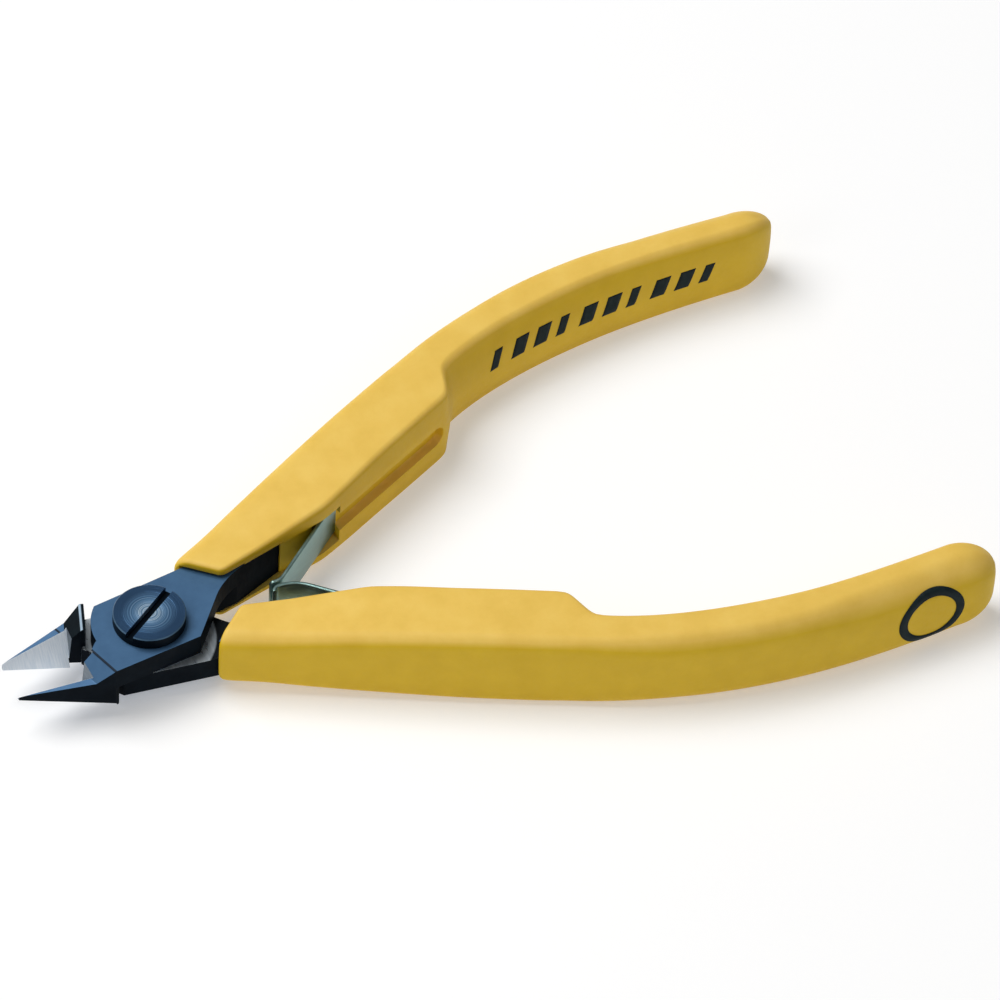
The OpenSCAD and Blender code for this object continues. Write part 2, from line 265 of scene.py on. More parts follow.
def turned_steel():
    """The screw's turned face: rings about the screw's axis, and a painted highlight that makes the centre
    and its rings brighter.
    """
    material, shader = new_material("turned_steel")
    n = Nodes(material)
    radius = n.from_axis()
    rings = n.add(
        "ShaderNodeTexNoise",
        {"W": n.math("MULTIPLY", radius, TURNING_MARKS), "Scale": 1.0, "Detail": 3.0, "Roughness": 0.7},
        noise_dimensions="1D",
    ).outputs["Fac"]
    centre_highlight = n.span(radius, 0.0002, 0.0031, 0.85, 0.0)
    lit = n.math("ADD", n.math("MULTIPLY", n.span(rings, 0.4, 0.68), centre_highlight), n.math("MULTIPLY", centre_highlight, 0.42))
    colour = n.ramp(lit, (0.0, (0.032, 0.080, 0.165)), (0.35, (0.13, 0.27, 0.46)), (0.9, (0.75, 0.92, 1.0)))
    n.link(colour, shader.inputs["Base Color"])
    n.link(n.bump(rings, 0.35, 0.00004), shader.inputs["Normal"])
    shader.inputs["Roughness"].default_value = 0.36
    shader.inputs["Metallic"].default_value = 0.85
    return material


def ink():
    """Dark green-black printing ink."""
    material, shader = new_material("ink")
    n = Nodes(material)
    colour = n.ramp(n.noise(1500, 2), (0.3, (0.004, 0.012, 0.014)), (0.7, (0.009, 0.021, 0.024)))
    n.link(colour, shader.inputs["Base Color"])
    shader.inputs["Roughness"].default_value = 0.65
    shader.inputs["Specular IOR Level"].default_value = 0.15
    return material


PLASTIC = grip_plastic()
# blued top faces; the near-black line along the upper half's ramp edge is painted shade
BLUE = blued_steel(
    "blued_face_with_painted_shade_line", (0.052, 0.132, 0.255), (0.066, 0.160, 0.300), 0.46, 0.55, line=(1, (0.004, 0.012, 0.024))
)
# walls of the halves and the screw's wall, slot and underside: dark oxide steel, with its shine taken away
# and darkened to near black as painted shade
DARK_WALL_SHADE = blued_steel("dark_wall_painted_shade", (0.001, 0.003, 0.006), (0.003, 0.007, 0.012), 0.5, 0.0, 0.03)
# painted shade on the lower half's ramp and root top, near black, with a painted highlight line along the
# ramp's upper edge
RAMP_SHADE_AND_HIGHLIGHT = blued_steel(
    "ramp_painted_shade_and_highlight", (0.001, 0.004, 0.007), (0.003, 0.009, 0.013), 0.45, 0.1, 0.06, line=(-1, (0.34, 0.45, 0.55))
)
# the cutting bevel: bright ground steel, painted still brighter, near white and barely metallic, as a painted
# highlight
BEVEL = ground_steel("ground_bevel_painted_highlight", (0.68, 0.77, 0.87), (0.90, 0.95, 1.0), 0.38, (9, 0.6, 0.6), 0.2)
# the throat's ground faces: the same ground steel as the bevel, painted much darker as shade
RUN_OUT = ground_steel("ground_run_out_painted_shade", (0.10, 0.125, 0.15), (0.24, 0.28, 0.32), 0.38, (1, 1, 6))
BRIGHT = lapped_steel()
# the screw's rim chamfer: a faint painted highlight, a little smoother and greyer than the blued face
RIM_HIGHLIGHT = blued_steel("rim_painted_highlight", (0.050, 0.11, 0.19), (0.085, 0.17, 0.27), 0.4, 0.6)
SPRING = ground_steel("spring_steel", (0.19, 0.30, 0.29), (0.26, 0.40, 0.38), 0.34, (1, 1, 5))
SCREW = turned_steel()
INK = ink()


# ---------------------------------------------------------------- mesh helpers

SOFTEN_ANGLE = 40  # degrees: sharper edges than this are softened after a cut


def to_object(bm, name):
    """Turns bm into an object of the scene, and frees it."""
    mesh = bpy.data.meshes.new(name)
    bm.to_mesh(mesh)
    bm.free()
    obj = bpy.data.objects.new(name, mesh)
    bpy.context.scene.collection.objects.link(obj)
    return obj


def shade(mesh, angle):
    """Smooth shading, apart from edges sharper than the angle in degrees."""
    for polygon in mesh.polygons:
        polygon.use_smooth = True
    mesh.set_sharp_from_angle(angle=math.radians(angle))


def finish_mesh(bm, name, material, side, smooth, node, body=None):
    """Makes bm, drawn as a half in millimetres, the piece that stands for a CAD node."""
    bmesh.ops.transform(bm, matrix=half_matrix(side), verts=bm.verts)
    if side < 0:
        bmesh.ops.reverse_faces(bm, faces=bm.faces)
    obj = to_object(bm, name)
    obj.data.materials.append(material)
    shade(obj.data, smooth)
    if body:
        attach(obj, body)
    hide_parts(node)
    return obj


def loft(rings):
    """A closed skin through rings of equal numbers of points, with flat ends."""
    bm = bmesh.new()
    layers = [[bm.verts.new(p) for p in ring] for ring in rings]
    count = len(layers[0])
    for a, b in zip(layers, layers[1:]):
        for i in range(count):
            j = (i + 1) % count
            bm.faces.new((a[i], a[j], b[j], b[i]))
    bm.faces.new(list(reversed(layers[0])))
    bm.faces.new(layers[-1])
    bmesh.ops.recalc_face_normals(bm, faces=bm.faces)
    return bm


def prism(points, low, high):
    """A straight prism over a plan outline."""
    return loft([[(x, y, z) for x, y in points] for z in (low, high)])


def carve(bm, cutters, soften=0.0):
    """bm less each cutter, with its sharp edges softened by that width."""
    target = to_object(bm, "carve_target")
    helpers = []
    for cutter in cutters:
        tool = to_object(cutter, "carve_tool")
        tool.hide_render = True
        helpers.append(tool)
        step = target.modifiers.new("cut", "BOOLEAN")
        step.operation = "DIFFERENCE"
        step.solver = "EXACT"
        step.object = tool
    if soften:
        step = target.modifiers.new("soften", "BEVEL")
        step.width = soften
        step.segments = 2
        step.limit_method = "ANGLE"
        step.angle_limit = math.radians(SOFTEN_ANGLE)
        step.use_clamp_overlap = True
        step.miter_outer = "MITER_ARC"
    graph = bpy.context.evaluated_depsgraph_get()
    result = bmesh.new()
    result.from_mesh(target.evaluated_get(graph).to_mesh())
    for obj in [target, *helpers]:
        mesh = obj.data
        bpy.data.objects.remove(obj)
        bpy.data.meshes.remove(mesh)
    return result


def bezier(p0, p1, p2, p3, t):
    """The point at share t of a cubic curve."""
    s = 1 - t
    a, b, c, d = s * s * s, 3 * s * s * t, 3 * s * t * t, t * t * t
    return tuple(a * i + b * j + c * k + d * m for i, j, k, m in zip(p0, p1, p2, p3))


def mix(a, b, t):
    """The point at share t of the way from a to b."""
    return tuple(i + (j - i) * t for i, j in zip(a, b))


def rise(value, start, length):
    """Goes smoothly from 0 at start to 1 a length further on."""
    t = max(0.0, min(1.0, (value - start) / length))
    return t * t * (3 - 2 * t)


def on_line(a, b, x):
    """The y at x on the line through a and b."""
    return a[1] + (x - a[0]) * (b[1] - a[1]) / (b[0] - a[0])


# ---------------------------------------------------------------- grips

# Matching points of the grip's inner and outer sides in plan, from the mouth past the bend to the step's end,
# the number of stations from each to the next, and the curves of the tail.
INNER = [(10.05, 1.3), (11.2, 1.44), (13.4, 1.71), (24.4, 3.05)]
INNER += [(34.5, 6.4), (44.7, 9.8), (45.75, 10.75), (47.6, 13.0)]
OUTER = [(6.25, 5.5), (7.25, 6.1), (10.4, 7.05), (20.4, 10.45)]
OUTER += [(31.4, 14.2), (40.45, 17.15), (42.2, 17.65), (44.8, 18.5)]
STEPS = [10, 6, 14, 12, 14, 6, 8]
INNER_CURVE = ((47.6, 13.0), (57, 16.6), (73, 16.6), (90.4, 13.8))
OUTER_CURVE = ((44.8, 18.5), (58, 23.1), (72, 23.0), (90.8, 19.35))
TAIL_STEPS = 44
INNER_MOUTH, INNER_BEND, INNER_STEP = INNER[0], INNER[3], INNER[5]
RIM_CROWDING = 1.6  # power that crowds the first stations at the mouth's rim
INNER_ROUND, OUTER_ROUND = 0.55, 0.9

# Height: the mouth's wall under the steel, its top, and how both sides spread up to where the grip swells
MOUTH_WALL, MOUTH_TOP, MOUTH_SPREAD = 0.65, 9.0, 0.3
SWELL_START, SWELL_LENGTH = 14, 25

# Section: how far its inner wall leans and its outer wall tapers and bulges, and how finely its corners
# and the sides between them are divided
STRAIGHT_LEAN, STEP_LEAN, END_LEAN_LOSS = 0.25, 1.25, 1.0
LOWER_LEAN = 0.57
TAIL_TAPER = 1.1
BULGE = 0.12
CORNER_STEPS = 8
SIDE_STEPS = (5, 4, 5, 4)
LEAST_RADIUS = 0.3
LIP = 0.5  # radius of the mouth's rim

# Tail end: the stations over which its corners grow rounder, and the domed cap in place of the last ones
ROUNDER_STATIONS = 19
CAP_ROWS = 2
CAP_STEPS = 14
CAP_CLOSE = 0.985  # the cap's last ring stops a little short of its tip, and is filled flat
CAP_REACH = 5.05
CAP_DROP = 3.7


def path_points():
    """Inner and outer points of every station, with the plan corners rounded."""
    inner, outer = [], []
    for i, steps in enumerate(STEPS):
        for k in range(steps):
            t = (k / steps) ** RIM_CROWDING if i == 0 else k / steps
            inner.append(mix(INNER[i], INNER[i + 1], t))
            outer.append(mix(OUTER[i], OUTER[i + 1], t))
    for k in range(TAIL_STEPS + 1):
        inner.append(bezier(*INNER_CURVE, k / TAIL_STEPS))
        outer.append(bezier(*OUTER_CURVE, k / TAIL_STEPS))
    return rounded(inner, INNER_ROUND), rounded(outer, OUTER_ROUND)


def rounded(points, width):
    """Averages each point with its neighbours along the path, which rounds its corners. The weights are a
    bell curve as wide as width, and narrower near the path's ends."""
    per_spread, last = 4.5, 12
    along = [0.0]
    for a, b in zip(points, points[1:]):
        along.append(along[-1] + math.dist(a, b))
    out = []
    for i, s in enumerate(along):
        spread = min(width, s / 3, (along[-1] - s) / 3)
        if spread < 0.02:
            out.append(points[i])
            continue
        total, x, y = 0.0, 0.0, 0.0
        for k in range(-last, last + 1):
            offset = spread * k / per_spread
            weight = math.exp(-((k / per_spread) ** 2) / 2)
            px, py = at_length(points, along, s + offset)
            total, x, y = total + weight, x + weight * px, y + weight * py
        out.append((x / total, y / total))
    return out


def at_length(points, along, s):
    """The point at length s of a path, whose points lie at the lengths along."""
    s = max(0.0, min(along[-1], s))
    for i in range(len(along) - 1):
        if s <= along[i + 1]:
            return mix(points[i], points[i + 1], (s - along[i]) / (along[i + 1] - along[i]))
    return points[-1]


def levels(x):
    """Lower and upper side of the grip: thin at the mouth, full from the bend to the tail."""
    low, high = STEEL_LOW - MOUTH_WALL, MOUTH_TOP
    if x < SWELL_START:
        return low - MOUTH_SPREAD * x / SWELL_START, high + MOUTH_SPREAD * x / SWELL_START
    t = math.sin(math.pi / 2 * min(1, (x - SWELL_START) / SWELL_LENGTH))
    return (low - MOUTH_SPREAD) * (1 - t), high + MOUTH_SPREAD + (GRIP_H - high - MOUTH_SPREAD) * t


def section_shape(x, tail):
    """Radii of the section's inner, lower outer and upper outer corners, its lean and its taper, at x. Tail
    goes from 0 to 1 over the last stations."""
    r_in = 0.55 + 0.15 * rise(x, 9, 14) + 0.7 * tail
    r_out = 1.9 - 0.35 * rise(x, 8, 10) + 0.95 * rise(x, 42, 14) + 0.3 * tail
    r_top = r_out + 1.5 * tail
    lean = STRAIGHT_LEAN * rise(x, 25, 8) + (STEP_LEAN - END_LEAN_LOSS * tail) * rise(x, 42.8, 3.3)
    return (r_in, r_out, r_top), lean, TAIL_TAPER * rise(x, 58, 30)


def section(inner, outer, low, high, radii, lean, taper):
    """Rounded cross-section from the inner to the outer point, as a ring of 3-D points. Lean draws the inner
    wall's upper edge back, and its lower edge by the share LOWER_LEAN of it. Taper draws the outer wall's
    upper edge in."""
    ax, ay = inner
    ux, uy = outer[0] - ax, outer[1] - ay
    width = math.hypot(ux, uy)
    ux, uy = ux / width, uy / width
    half, middle = (high - low) / 2, (high + low) / 2
    r_in, r_out, r_top = (
        min(r, width * share, half * 0.9) for r, share in zip(radii, (0.45, 0.5, 0.5))
    )
    corners = [
        (width - r_out, r_out - half, r_out, 360),
        (r_in, r_in - half, r_in, 270),
        (r_in, half - r_in, r_in, 180),
        (width - r_top, half - r_top, r_top, 90),
    ]
    arcs = []
    for u, z, r, end in corners:
        angles = [math.radians(end - 90 * k / CORNER_STEPS) for k in range(CORNER_STEPS + 1)]
        arcs.append([(u + r * math.cos(a), z + r * math.sin(a)) for a in angles])
    ring = []
    for arc, following, steps in zip(arcs, arcs[1:] + arcs[:1], SIDE_STEPS):
        ring += arc
        ring += [mix(arc[-1], following[0], k / steps) for k in range(1, steps)]
    points = []
    for u, z in ring:
        share = max(0.0, min(1.0, u / width))
        shift = BULGE * (1 - (z / half) ** 2) * share
        shift += (lean if z > 0 else LOWER_LEAN * lean) * (z / half) ** 2 * (1 - share)
        shift -= (taper if z > 0 else 0.0) * (z / half) ** 2 * share
        points.append((ax + ux * (u + shift), ay + uy * (u + shift), middle + z))
    return points


def grip_skin():
    """The grip's outside, from the rounded rim of its mouth to its domed tail end."""
    inner, outer = path_points()
    rings = []
    count = len(inner)
    across = Vector((outer[0][0] - inner[0][0], outer[0][1] - inner[0][1])).normalized()
    into = Vector((across.y, -across.x))
    for i, (a, b) in enumerate(zip(inner, outer)):
        x = (a[0] + b[0]) / 2
        low, high = levels(x)
        radii, lean, taper = section_shape(x, rise(i, count - 1 - ROUNDER_STATIONS, ROUNDER_STATIONS))
        # the mouth's rim is rounded: its first rings are drawn in
        depth = (Vector(a) - Vector(inner[0])).dot(into)
        inset = LIP * (1 - math.sqrt(1 - (1 - depth / LIP) ** 2)) if depth < LIP else 0.0
        width = math.dist(a, b)
        a, b = mix(a, b, inset / width), mix(b, a, inset / width)
        radii = [max(LEAST_RADIUS, r - inset) for r in radii]
        rings.append(section(a, b, low + inset, high - inset, radii, lean, taper))
    rings = rings[:-CAP_ROWS]
    return loft(rings + tail_cap(rings[-1], inner[-1 - CAP_ROWS], outer[-1 - CAP_ROWS]))


def tail_cap(base, a, b):
    """Rings of the domed end, which follows the tail's direction. Base is the tail's last ring, between a and
    b in plan."""
    centre = mix(a, b, 0.5)
    ahead = Vector((b[1] - a[1], a[0] - b[0])).normalized()
    rings = []
    for k in range(1, CAP_STEPS + 1):
        q = math.sin(math.pi / 2 * k / CAP_STEPS * CAP_CLOSE)
        narrow = math.sqrt(1 - q * q)
        upright = (MID - CAP_DROP * (1 - narrow)) / MID
        ring = []
        for x, y, z in base:
            px = centre[0] + (x - centre[0]) * narrow + ahead.x * CAP_REACH * q
            py = centre[1] + (y - centre[1]) * narrow + ahead.y * CAP_REACH * q
            ring.append((px, py, MID + (z - MID) * upright))
        rings.append(ring)
    return rings


def groove_tool(start, end, width, depth, below):
    """A round-ended slot along the straight inner side, a little below the grip's middle. Its floor's edge is
    drawn in, and it stands clear of the wall outside."""
    a, b = Vector(INNER_BEND), Vector(INNER_STEP)
    along = (b - a).normalized()
    into = Vector((-along.y, along.x))
    r = width / 2
    turns = [math.pi * k / 14 for k in range(1, 14)]
    outline = [(start, -r), (end, -r)]
    outline += [(end + r * math.sin(t), -r * math.cos(t)) for t in turns]
    outline += [(end, r), (start, r)]
    rings = []
    clear = -2.0
    for d, draw in ((clear, 0.0), (0.0, 0.0), (depth * 0.72, 0.06), (depth, 0.3)):
        ring = []
        for s, z in outline:
            scale = 1 - draw / r
            base = a + along * min(s, end + (s - end) * scale) + into * d
            ring.append((base.x, base.y, MID - below + z * scale))
        rings.append(ring)
    return loft(rings)


def grip_cutters():
    """The tang's seat at the mouth, the channel over the tang, the spring's pocket and the long groove."""
    low, high = STEEL_LOW, STEEL_TOP
    under, over, channel_over = 0.12, 0.42, 0.2
    channel_end, pocket_start, pocket_end = 18.6, 23, 26.9
    recess_start, recess_end, recess_depth = 18.5, 23.1, 0.7
    seat = prism(
        [(4, 3.2), (9.4, -1.4), (12.2, 1.4), (19, 3.4), (22, 4.2), (22, 8.9), (13, 6.65), (8, 5.0), (4, 5.0)],
        low - under,
        high + over,
    )
    channel_back = on_line(TANG_MOUTH, TANG_BEND, channel_end) + 0.5
    channel = prism(
        [(8.4, -1.5), (channel_end, -1.5), (channel_end, channel_back), (8.4, 1.6)], low, high + channel_over
    )
    recess_back = [
        (x, on_line(INNER_MOUTH, INNER_BEND, x) + recess_depth) for x in (recess_end, recess_start)
    ]
    recess = prism([(recess_start, -1), (recess_end, -1), *recess_back], low, high)
    pocket_back = [(x, on_line(TANG_MOUTH, TANG_BEND, x)) for x in (pocket_end, pocket_start)]
    pocket = prism([(pocket_start, -1), (pocket_end, -1), *pocket_back], low, high)
    groove = groove_tool(start=1.6, end=19.35, width=2.9, depth=0.95, below=0.2)
    return [seat, channel, recess, pocket, groove]


grips = {}
for side, word in ((1, "upper"), (-1, "lower")):
    shape = carve(grip_skin(), grip_cutters(), soften=0.12)
    grips[side] = finish_mesh(
        shape, f"{word}_grip_moulding", PLASTIC, side, 38, f"{word}_grip", f"{word}_half"
    )


# ---------------------------------------------------------------- printed marks

FILM = 0.00003  # metres: the ink's thickness, and its stand-off from the wall
RAY_START, RAY_LENGTH = 0.004, 0.01


def wall_point(side, t, z, outside):
    """A point and outward direction on the tail's wall, at share t of the tail curve, in the row frame."""
    curve = OUTER_CURVE if outside else INNER_CURVE
    p, q = bezier(*curve, t), bezier(*curve, t + 0.001)
    along = Vector((q[0] - p[0], q[1] - p[1], 0)).normalized()
    out = Vector((-along.y, along.x, 0)) * (1 if outside else -1)
    matrix = half_matrix(side)
    return matrix @ Vector((p[0], p[1], z)), (matrix.to_3x3() @ out).normalized()


def curve_share(curve, start, distance):
    """Share of the curve at a distance in millimetres from share start."""
    step, t, left = 0.002, start, distance
    sign = 1 if distance >= 0 else -1
    while abs(left) > 1e-3 and 0 <= t <= 1:
        a, b = bezier(*curve, t), bezier(*curve, t + sign * step)
        length = math.dist(a, b)
        part = min(1, abs(left) / length)
        t += sign * step * part
        left -= sign * length * part
    return t


def mark(name, side, outside, start, shapes):
    """Thin ink on a grip's wall, placed from share start of its tail curve. Each shape is a list of rows of
    (distance along, height above the middle)."""
    tree = BVHTree.FromObject(grips[side], bpy.context.evaluated_depsgraph_get())
    curve = OUTER_CURVE if outside else INNER_CURVE
    bm = bmesh.new()
    for rows in shapes:
        layers = []
        for row in rows:
            layer = []
            for s, z in row:
                t = curve_share(curve, start, s)
                point, out = wall_point(side, t, MID + z, outside)
                hit, normal, _, _ = tree.ray_cast(point + out * RAY_START, -out, RAY_LENGTH)
                layer.append(bm.verts.new((hit + normal * FILM) if hit else point))
            layers.append(layer)
        for a, b in zip(layers, layers[1:]):
            for i in range(len(a) - 1):
                bm.faces.new((a[i], a[i + 1], b[i + 1], b[i]))
    bmesh.ops.remove_doubles(bm, verts=bm.verts, dist=1e-7)
    bmesh.ops.recalc_face_normals(bm, faces=bm.faces)
    obj = to_object(bm, name)
    obj.data.materials.append(INK)
    film = obj.modifiers.new("film", "SOLIDIFY")
    film.thickness = FILM
    film.offset = 1
    shade(obj.data, 40)
    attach(obj, "upper_half" if side > 0 else "lower_half")


def ring_rows(radius, width, squeeze, turns=72):
    """A flat ring, a little squeezed in height."""
    rows = []
    for r in (radius - width / 2, radius, radius + width / 2):
        angles = [math.tau * k / turns for k in range(turns + 1)]
        rows.append([(r * math.cos(a), squeeze * r * math.sin(a)) for a in angles])
    return rows


def slanted_bar(start, width, height, middle, lean, across=4, up=12):
    """A bar whose top is shifted along by lean."""
    rows = []
    for k in range(up + 1):
        z = middle + height * (k / up - 0.5)
        shift = lean * k / up
        rows.append([(start + shift + width * i / across, z) for i in range(across + 1)])
    return rows


def bar_row(count=10, pitch=3.2, wide=1.9, narrow=1.2):
    """A plain row of slanted bars, every third one narrow, that drops a little towards the tail's end."""
    bars = []
    for k in range(count):
        width = wide if k % 3 else narrow
        bars.append(slanted_bar(pitch * k, width, height=2.6, middle=1.2 - 0.08 * k, lean=0.9))
    return bars


mark("lower_grip_ring_mark", -1, True, 0.884, [ring_rows(radius=3.6, width=1.05, squeeze=0.95)])
mark("upper_grip_bar_mark", 1, False, 0.187, bar_row())


# ---------------------------------------------------------------- screw head

THREAD_R, SHOULDER_R, END_CHAMFER = 1.7, 2.4, 0.2
HEAD_GAP, UNDER_CHAMFER, RIM_CHAMFER = 0.05, 0.06, 0.12
FIRST_GROOVE, GROOVE_PITCH, LAST_GROOVE_R = 0.22, 0.17, 0.35
SLOT_DEGREES, SLOT_WIDTH, SLOT_DEPTH = 34, 0.95, 0.7
SCREW_TURNS = 128
FACE_DEPTH = 0.00015  # metres: what lies deeper under the head's top is wall or slot, painted near black as shade


def screw_profile():
    """Radius and height of the shoulder screw's outline, with turned grooves on its head."""
    top = SCREW_TOP
    base = STEEL_TOP + HEAD_GAP
    low = SCREW_LOW.z / MM
    profile = [(0.0, low), (THREAD_R - END_CHAMFER, low), (THREAD_R, low + END_CHAMFER), (THREAD_R, LAP)]
    profile += [(SHOULDER_R, LAP), (SHOULDER_R, base), (SCREW_R - UNDER_CHAMFER, base)]
    profile += [(SCREW_R, base + UNDER_CHAMFER), (SCREW_R, top - RIM_CHAMFER), (SCREW_R - RIM_CHAMFER, top)]
    r = SCREW_R - FIRST_GROOVE
    while r > LAST_GROOVE_R:
        depth = 0.006 + 0.01 * (0.5 + 0.5 * math.sin(r * 9.1)) * (0.5 + 0.5 * math.cos(r * 4.3))
        profile += [(r, top - 0.002), (r - 0.05, top - depth), (r - 0.1, top - 0.002)]
        r -= GROOVE_PITCH
    profile.append((0.0, top - 0.01))
    return profile


def screw_shape():
    """The profile turned about the pivot, with a driver slot."""
    angles = [math.tau * k / SCREW_TURNS for k in range(SCREW_TURNS)]
    bm = bmesh.new()
    rings = []
    for x, z in screw_profile():
        if x == 0:
            rings.append([bm.verts.new((0, 0, z))])
        else:
            rings.append([bm.verts.new((x * math.cos(a), x * math.sin(a), z)) for a in angles])
    for a, b in zip(rings, rings[1:]):
        for k in range(SCREW_TURNS):
            j = (k + 1) % SCREW_TURNS
            if len(a) == 1:
                bm.faces.new((a[0], b[j], b[k]))
            elif len(b) == 1:
                bm.faces.new((a[k], a[j], b[0]))
            else:
                bm.faces.new((a[k], a[j], b[j], b[k]))
    bmesh.ops.recalc_face_normals(bm, faces=bm.faces)
    slot = bmesh.new()
    bmesh.ops.create_cube(slot, size=1)
    length, height = 12, 2
    turn = Matrix.Rotation(math.radians(SLOT_DEGREES) - HALF_ANGLE, 4, "Z")
    lift = Matrix.Translation((0, 0, SCREW_TOP - SLOT_DEPTH + height / 2))
    place = turn @ lift @ Matrix.Diagonal((length, SLOT_WIDTH, height, 1))
    bmesh.ops.transform(slot, matrix=place, verts=slot.verts)
    return carve(bm, [slot])


def dress_screw(screw):
    """Near-black painted shade under the head and in the slot, and a faint painted highlight round the rim.
    """
    mesh = screw.data
    mesh.materials.append(DARK_WALL_SHADE)
    mesh.materials.append(RIM_HIGHLIGHT)
    for polygon in mesh.polygons:
        radius = Vector((polygon.center.x - PIVOT.x, polygon.center.y - PIVOT.y, 0)).length / MM
        if polygon.center.z < SCREW_HIGH.z - FACE_DEPTH:
            polygon.material_index = 1
        elif radius > SCREW_R - RIM_CHAMFER - 0.01:
            polygon.material_index = 2


dress_screw(
    finish_mesh(screw_shape(), "turned_screw", SCREW, 1, 30, "joint_screw", "lower_half")
)


# ---------------------------------------------------------------- leaf springs

TANG_ANGLE = math.atan2(TANG_END[1] - TANG_BEND[1], TANG_END[0] - TANG_BEND[0])
LEAF_T = 0.45
LEAF_GAP = 0.04
LEAF_START = 9.0  # where the riveted end lies, from the tang's bend along the tang
LEAF_EDGE = 0.16
END_DRAW, END_STATIONS = 0.35, 3
FINE = 3  # stations for each straight piece that the CAD leaf has

# Each stretch of a leaf from its riveted end: its length, its turn in degrees and its pieces in the CAD. The
# second stretch is the root, which bends as the tool closes.
UPPER_ROUTE = [(8.4, 0, 5), (1.2, 7.9, 5), (12, 0, 10), (1.2, -39.5, 6), (0.7, 0, 2)]
LOWER_ROUTE = [(8.4, 0, 5), (1.2, 11.4, 5), (9.73, 0, 8), (3.6, -43, 10), (1.1, -85, 8)]


def leaf_path(route):
    """Points and headings along a leaf, on its middle line, in the half's drawing."""
    x, y, heading = LEAF_START, -LEAF_T / 2 - LEAF_GAP, 180.0
    points = [(x, y, heading)]
    for length, turn, pieces in route:
        fine = pieces * FINE
        for k in range(fine):
            middle = math.radians(heading + turn * (k + 0.5) / fine)
            x += length / fine * math.cos(middle)
            y += length / fine * math.sin(middle)
            points.append((x, y, heading + turn * (k + 1) / fine))
        heading += turn
    ca, sa = math.cos(TANG_ANGLE), math.sin(TANG_ANGLE)
    bx, by = TANG_BEND
    return [(bx + x * ca - y * sa, by + x * sa + y * ca, h + math.degrees(TANG_ANGLE)) for x, y, h in points]


def leaf_skin(path):
    """A strip with rounded edges and slightly drawn-in end corners."""
    rings = []
    half_w, half_t = LEAF_W / 2, LEAF_T / 2
    total = len(path) - 1
    for i, (x, y, heading) in enumerate(path):
        side_x, side_y = -math.sin(math.radians(heading)), math.cos(math.radians(heading))
        end = min(1.0, (total - i) / END_STATIONS)
        w = half_w - END_DRAW * (1 - end) ** 2
        ring = []
        for sign_z, sign_t, start in ((1, 1, 0), (1, -1, 90), (-1, -1, 180), (-1, 1, 270)):
            for k in range(4):
                a = math.radians(start + 90 * k / 3)
                t = sign_t * (half_t - LEAF_EDGE) + LEAF_EDGE * math.cos(a)
                z = sign_z * (w - LEAF_EDGE) + LEAF_EDGE * math.sin(a)
                ring.append((x + side_x * t, y + side_y * t, LAP + z))
        rings.append(ring)
    return loft(rings)


def build_leaf(side, word, route):
    """One leaf spring, built as a fixed mesh in the row frame."""
    path = leaf_path(route)
    leaf = finish_mesh(
        leaf_skin(path), f"{word}_leaf", SPRING, side, 40, f"{word}_leaf_spring"
    )
    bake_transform(leaf)


build_leaf(1, "upper", UPPER_ROUTE)
build_leaf(-1, "lower", LOWER_ROUTE)


# ---------------------------------------------------------------- steel halves and rivets

CUTTER_FINISHES_AND_SHADES = (BLUE, DARK_WALL_SHADE, RAMP_SHADE_AND_HIGHLIGHT, BEVEL, RUN_OUT, BRIGHT)
JAW_END, RAMP_END, ROOT_END = -7, -6.4, -6  # the jaw, its ramp and its root's top lie on the -X side of these


def cutter_finish_and_shade(side, centre, normal):
    """The finish, painted shade or painted highlight of a cutter half's face, from its middle and its
    direction as the half is drawn.
    """
    # the bevel's near-white colour is partly a painted highlight
    if centre.x < JAW_END and normal.y > 0.5 and normal.z > 0.45:
        return BEVEL
    # the throat's ground faces are painted dark as shade
    if centre.x < JAW_END and normal.x < -0.9:
        return RUN_OUT
    # the lower half's ramp and root top are painted near black as shade
    if side < 0 and centre.x < RAMP_END and normal.x < -0.5 and normal.z > 0.4:
        return RAMP_SHADE_AND_HIGHLIGHT
    if side < 0 and centre.x < ROOT_END and normal.z > 0.9 and centre.z > STEEL_TOP - 0.2:
        return RAMP_SHADE_AND_HIGHLIGHT
    if abs(centre.z - LAP) < 0.2 and abs(normal.z) > 0.9:
        return BRIGHT
    # upward faces stay blued; walls get the near-black painted shade
    return BLUE if abs(normal.z) > 0.35 else DARK_WALL_SHADE


def dress_cutter(node, side):
    """Gives each face of a cutter half its finish or its painted shade or highlight, and softens the edges.
    """
    obj = frame["nodes"][node]
    mesh = obj.data
    mesh.materials.clear()
    for material in CUTTER_FINISHES_AND_SHADES:
        mesh.materials.append(material)
    to_half = half_matrix(side).inverted()
    for polygon in mesh.polygons:
        normal = (to_half.to_3x3() @ polygon.normal).normalized()
        chosen_surface = cutter_finish_and_shade(side, to_half @ polygon.center, normal)
        polygon.material_index = CUTTER_FINISHES_AND_SHADES.index(chosen_surface)
        polygon.use_smooth = False
    merge = obj.modifiers.new("merge", "WELD")
    merge.merge_threshold = 0.000002
    tidy = obj.modifiers.new("tidy", "DECIMATE")
    tidy.decimate_type = "DISSOLVE"
    tidy.angle_limit = math.radians(0.6)
    tidy.delimit = {"MATERIAL"}
    soften = obj.modifiers.new("soften", "BEVEL")
    soften.width = 0.00009
    soften.segments = 2
    soften.limit_method = "ANGLE"
    soften.angle_limit = math.radians(24)
    soften.use_clamp_overlap = True
    soften.harden_normals = True


dress_cutter("upper_cutter_half", 1)
dress_cutter("lower_cutter_half", -1)

for word in ("upper", "lower"):
    rivet = frame["nodes"][f"{word}_spring_rivet"]
    rivet.data.materials.clear()
    rivet.data.materials.append(SPRING)


# ---------------------------------------------------------------- floor, light and camera

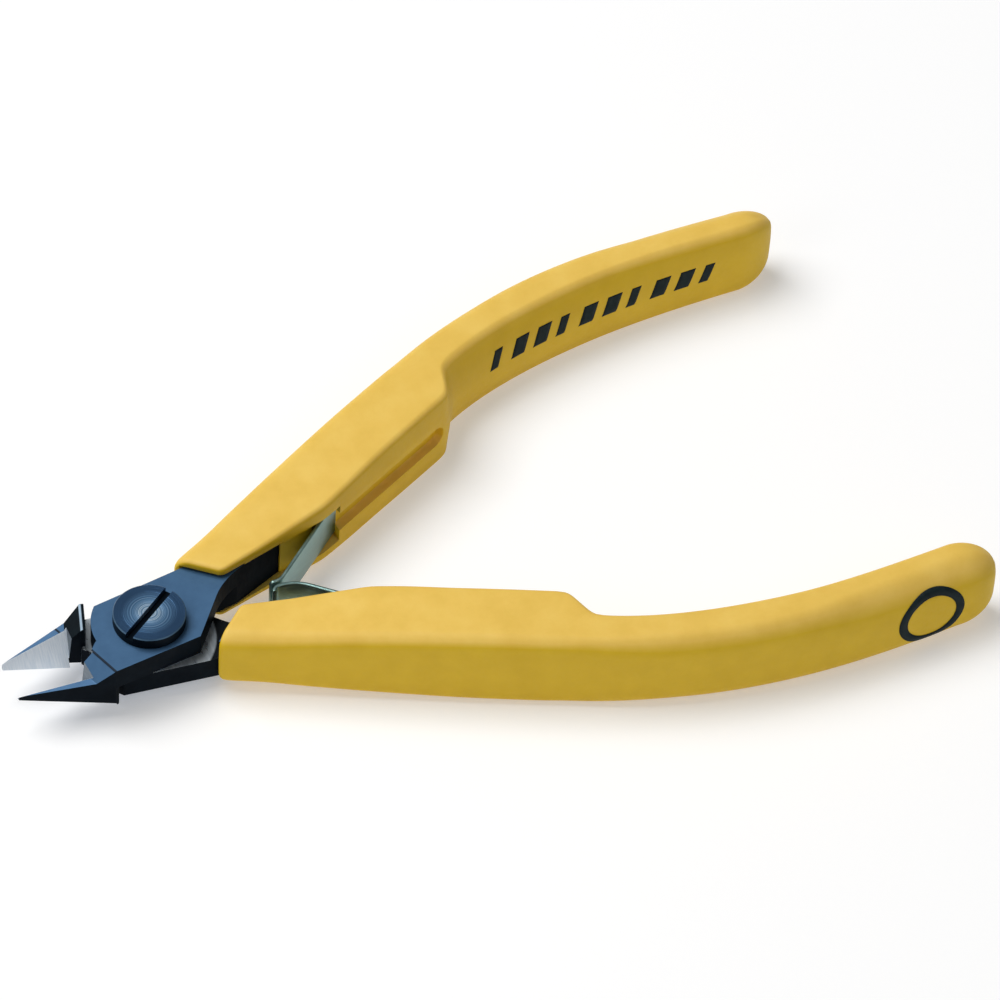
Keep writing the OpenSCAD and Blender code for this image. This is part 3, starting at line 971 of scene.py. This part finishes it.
FLOOR_HALF, FLOOR_GAP = 1.2, 0.00002
AZIMUTH, ELEVATION, ROLL = -27.7, 48.7, 3.77
TARGET = PIVOT + Vector((44.11, 3.19, 5.2)) * MM
DISTANCE = 0.75935
LENS, SENSOR = 243.15, 36


def floor():
    """A plain pale floor, just under the tool."""
    s = FLOOR_HALF
    bm = bmesh.new()
    bm.faces.new([bm.verts.new((x, y, -FLOOR_GAP)) for x, y in ((-s, -s), (s, -s), (s, s), (-s, s))])
    obj = to_object(bm, "floor")
    material, shader = new_material("floor_white")
    shader.inputs["Base Color"].default_value = (0.74, 0.74, 0.74, 1)
    shader.inputs["Emission Color"].default_value = (1, 1, 1, 1)
    shader.inputs["Emission Strength"].default_value = 0.3
    shader.inputs["Roughness"].default_value = 0.9
    obj.data.materials.append(material)


def softbox(name, place, target, size, power):
    """A square area lamp that faces its target."""
    data = bpy.data.lights.new(name, "AREA")
    data.shape = "RECTANGLE"
    data.size = data.size_y = size
    data.energy = power
    lamp = bpy.data.objects.new(name, data)
    lamp.location = place
    lamp.rotation_euler = (Vector(target) - Vector(place)).to_track_quat("-Z", "Y").to_euler()
    bpy.context.scene.collection.objects.link(lamp)


def lights():
    """A large key lamp from the upper left, a weak fill from the front and a small lamp on the bevel."""
    world = bpy.data.worlds.new("studio")
    world.use_nodes = True
    background = world.node_tree.nodes["Background"]
    background.inputs["Color"].default_value = (1, 1, 1, 1)
    background.inputs["Strength"].default_value = 0.16
    bpy.context.scene.world = world
    softbox("key", (-0.45, 0.42, 1.15), (0, 0, 0), 0.9, 15.6)
    softbox("fill", (0.3, -0.7, 0.9), (0, 0, 0), 0.5, 0.9)
    softbox("jaw_light", (-0.35, -0.12, 0.30), (PIVOT.x, 0, 0.005), 0.16, 0.15)


def camera():
    """A long lens at the photograph's viewing angle."""
    azimuth, elevation, roll = (math.radians(v) for v in (AZIMUTH, ELEVATION, ROLL))
    flat = math.cos(elevation)
    back = Vector((math.sin(azimuth) * flat, -math.cos(azimuth) * flat, math.sin(elevation)))
    right = Vector((math.cos(azimuth), math.sin(azimuth), 0))
    up = back.cross(right)
    across = right * math.cos(roll) + up * math.sin(roll)
    top = up * math.cos(roll) - right * math.sin(roll)
    basis = Matrix((across, top, back)).transposed()
    data = bpy.data.cameras.new("camera")
    data.lens = LENS
    data.sensor_width = SENSOR
    data.clip_start, data.clip_end = 0.01, 10
    obj = bpy.data.objects.new("camera", data)
    obj.matrix_world = Matrix.Translation(TARGET + back * DISTANCE) @ basis.to_4x4()
    bpy.context.scene.collection.objects.link(obj)
    bpy.context.scene.camera = obj


floor()
lights()
camera()
scene = bpy.context.scene
scene.view_settings.view_transform = "Standard"
scene.view_settings.look = "None"

bpy.context.view_layer.update()
